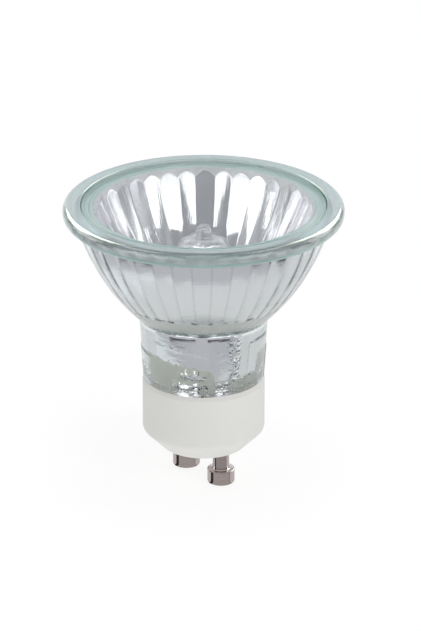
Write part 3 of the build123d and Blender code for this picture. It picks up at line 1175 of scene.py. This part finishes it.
# What the bowl and the neck mirror of the floor: a lilac table beyond the near floor, light on the left,
# and dark gaps
near_reach = 75
gap_reach = 72
table_reach = 700
near_edge = [(turn, 0.5) for turn in spread(-180, 180, 36)]
table_edge = [
    (-125, 62), (-107, 56), (-80, 47.5), (-67, 44.6), (-50, 41), (-40, 39), (-30, 37), (-25, 35),
    (0, 34.5), (25, 35), (34, 36), (42, 41), (58, 42), (70, 43), (79, 48), (83, 60),
]
light_edge = [(-130, 41), (-85, 41), (-40, 41)]
gap_left = [(-84, 58), (-74, 55), (-62, 54.5), (-48, 56), (-38, 57), (-28, 57.5), (-18, 60)]
gap_right = [(8, 60), (20, 57.5), (30, 57), (42, 56.5), (52, 56), (62, 54), (75, 54), (86, 57)]
room = emission_material("room", (0.95, 0.97, 1), 0.04)
near_floor = emission_material("near", (1, 1, 1), 0.76)
table_front = emission_material("front", (0.97, 0.96, 1), 0.58)
light_left = emission_material("light", (0.96, 0.98, 1), 0.92)
floor_card("near_floor", near_edge, near_reach, near_floor, height=0.1)
floor_card("table_front", table_edge, table_reach, table_front, height=0.2)
floor_card("light_left", light_edge, near_reach, light_left, height=0.15)
floor_card("gap_left", gap_left, gap_reach, room, height=0.25)
floor_card("gap_right", gap_right, gap_reach, room, height=0.25)

# What the pins mirror: a faintly pink card in front of each head and shank, between dark ones, and the same
# below the head
pin_card_radius = 3.6
pin_foot_radius = 1.8
pin_foot_height = 0.15
pin_cards = [
    ("head", 0.05, 2.0, emission_material("pin_front", (1, 0.97, 0.97), 0.52), (-65, -45, 50, 53)),
    ("shank", 2.0, 5.6, emission_material("shank_front", (1, 0.97, 0.97), 0.42), (-80, -60, 62, 66)),
]


def add_pin_card(name, left, right, edges, material, pin_x):
    sections = [(turn, *edges) for turn in spread(left, right, card_steps)]
    only_in_reflections(strip_piece(name, sections, material, pin_x))


for side in ("left", "right"):
    low, high = box_mm(f"contact_pin_{side}")
    pin_x = (low.x + high.x) / 2
    for part, bottom, top, front, turns in pin_cards:
        wall_edges = [(pin_card_radius, bottom), (pin_card_radius, top)]
        foot_edges = [(pin_foot_radius, pin_foot_height), (pin_card_radius, pin_foot_height)]
        for number, (left, right, material) in enumerate(zip(turns, turns[1:], (room, front, room))):
            add_pin_card(f"pin_{part}_{side}_{number}", left, right, wall_edges, material, pin_x)
            if part == "head":
                add_pin_card(f"pin_foot_{side}_{number}", left, right, foot_edges, material, pin_x)

# Dark room with a bright backdrop and soft lights
room_distance = 700
backdrop_distance = 690
softbox_distance = 560
softbox = emission_material("softbox", (1, 1, 1), 1.8)
top_light = emission_material("top", (1, 1, 1), 3.2)
backdrop = emission_material("backdrop", (0.9, 0.93, 1), 1.1)
dome_card("room_front", -100, 100, 4, 88, room_distance, room)
dome_card("room_back", 100, 260, 36, 88, room_distance, room)
dome_card("backdrop", 150, 210, 12, 36, backdrop_distance, backdrop)
dome_card("softbox_left", -56.5, -11, 5, 47, softbox_distance, softbox, lean_right=17.2)
dome_card("softbox_right", 6.5, 51, 5, 46, softbox_distance, softbox, lean_left=16.4)
for number, turn in enumerate((-110, 0, 110)):
    dome_card(f"softbox_top_{number}", turn - 22, turn + 22, 61, 75, softbox_distance, top_light)

# On both sides grey walls with bright and dark bars, and lights that glint in reflections and don't show
# through glass; bars have two angles away from the camera's direction, and bright ones two elevations
wall_distance = 620
bar_distance = 590
glint_distance = 530
wall = emission_material("wall", (0.95, 0.98, 1), 0.25)
bar = emission_material("bar", (1, 1, 1), 2.6)
glint = emission_material("glint", (1, 0.98, 0.9), 7.0)
glow = emission_material("glow", (1, 0.99, 0.96), 3.0)
bright_left = [
    (56, 66.5, 5, 48), (73.4, 75.2, 5, 30), (78.3, 81.3, 17, 33), (96.5, 98, 5, 60), (101, 103, 5, 60),
    (120.6, 124.5, 5, 60), (138.6, 142, 10, 60),
]
dark_left = [
    (66.5, 70), (82, 88), (92.8, 96.5), (103.6, 108), (113, 116.6), (124.5, 127), (133, 136.6),
]
bright_right = [
    (53.5, 61, 5, 40), (79.2, 80.8, 33, 52), (98.7, 102, 5, 60), (119, 121.6, 5, 60), (137.6, 140.4, 10, 60),
]
dark_right = [(61.6, 68), (81.8, 88), (102.2, 105.4), (121.6, 125), (133, 136.6)]


def side_card(name, sign, near, far, *rest):
    """A dome card on the right of the camera's direction, or on its left where the sign is -1."""
    return dome_card(name, *sorted((sign * near, sign * far)), *rest)


for side, sign, bright, dark in (
    ("left", -1, bright_left, dark_left),
    ("right", 1, bright_right, dark_right),
):
    side_card(f"wall_{side}", sign, 52, 150, 4, 70, wall_distance, wall)
    bars = [(*place, bar) for place in bright] + [(*place, 4, 62, room) for place in dark]
    for number, (*place, material) in enumerate(bars):
        side_card(f"bar_{side}_{number}", sign, *place, bar_distance, material)
    for card in (
        side_card(f"glint_{side}", sign, 118, 158, 22, 56, glint_distance, glint),
        side_card(f"glow_{side}", sign, 92, 118, 1, 36, glint_distance, glow),
    ):
        card.visible_transmission = False

# World: white for the camera, mirrors and glass; softer as light
world = bpy.data.worlds.new("studio")
bpy.context.scene.world = world
world.use_nodes = True
world_tree = world.node_tree
background = world_tree.nodes["Background"]
background.inputs["Color"].default_value = (1, 1, 1, 1)
rays = add_node(world_tree, "LightPath").outputs
seen = add_math(world_tree, "MAXIMUM", rays["Is Camera Ray"], rays["Is Glossy Ray"])
seen = add_math(world_tree, "MAXIMUM", seen, rays["Is Transmission Ray"])
world_tree.links.new(add_range(world_tree, seen, 0, 1, 0.54, 1.0), background.inputs["Strength"])


def add_softbox(name, place, size, watts):
    """A square soft lamp that points at the middle of the object."""
    light = bpy.data.lights.new(name, "AREA")
    light.shape = "SQUARE"
    light.size = size * MM
    light.energy = watts
    lamp = bpy.data.objects.new(name, light)
    lamp.location = place * MM
    aim = camera_aim - place
    lamp.rotation_euler = aim.to_track_quat("-Z", "Y").to_euler()
    bpy.context.scene.collection.objects.link(lamp)


right = Vector((math.cos(math.radians(camera_azimuth)), math.sin(math.radians(camera_azimuth)), 0))
towards = Vector((math.cos(camera_side), math.sin(camera_side), 0))
fill_place = right * 380 + towards * 480 + Vector((0, 0, 330))
add_softbox("overhead", Vector((0, 0, 800)), size=500, watts=1.4)
add_softbox("right_fill", fill_place, size=320, watts=0.75)

# Camera
camera_data = bpy.data.cameras.new("camera")
camera_data.sensor_fit = "VERTICAL"
camera_data.sensor_height = sensor_height
camera_data.lens = camera_focal_pixels / photo_height * sensor_height
camera_data.shift_x = camera_shift_pixels / photo_height
camera_data.clip_start = 0.01
camera = bpy.data.objects.new("camera", camera_data)
elevation = math.radians(camera_elevation)
back = towards * math.cos(elevation) + Vector((0, 0, math.sin(elevation)))
camera.location = (camera_aim + back * camera_distance) * MM
camera.rotation_euler = (-back).to_track_quat("-Z", "Y").to_euler()
bpy.context.scene.collection.objects.link(camera)
bpy.context.scene.camera = camera
bpy.context.scene.view_settings.view_transform = "Standard"
bpy.context.scene.cycles.max_bounces = 24
bpy.context.scene.cycles.glossy_bounces = 12
bpy.context.scene.cycles.transmission_bounces = 20
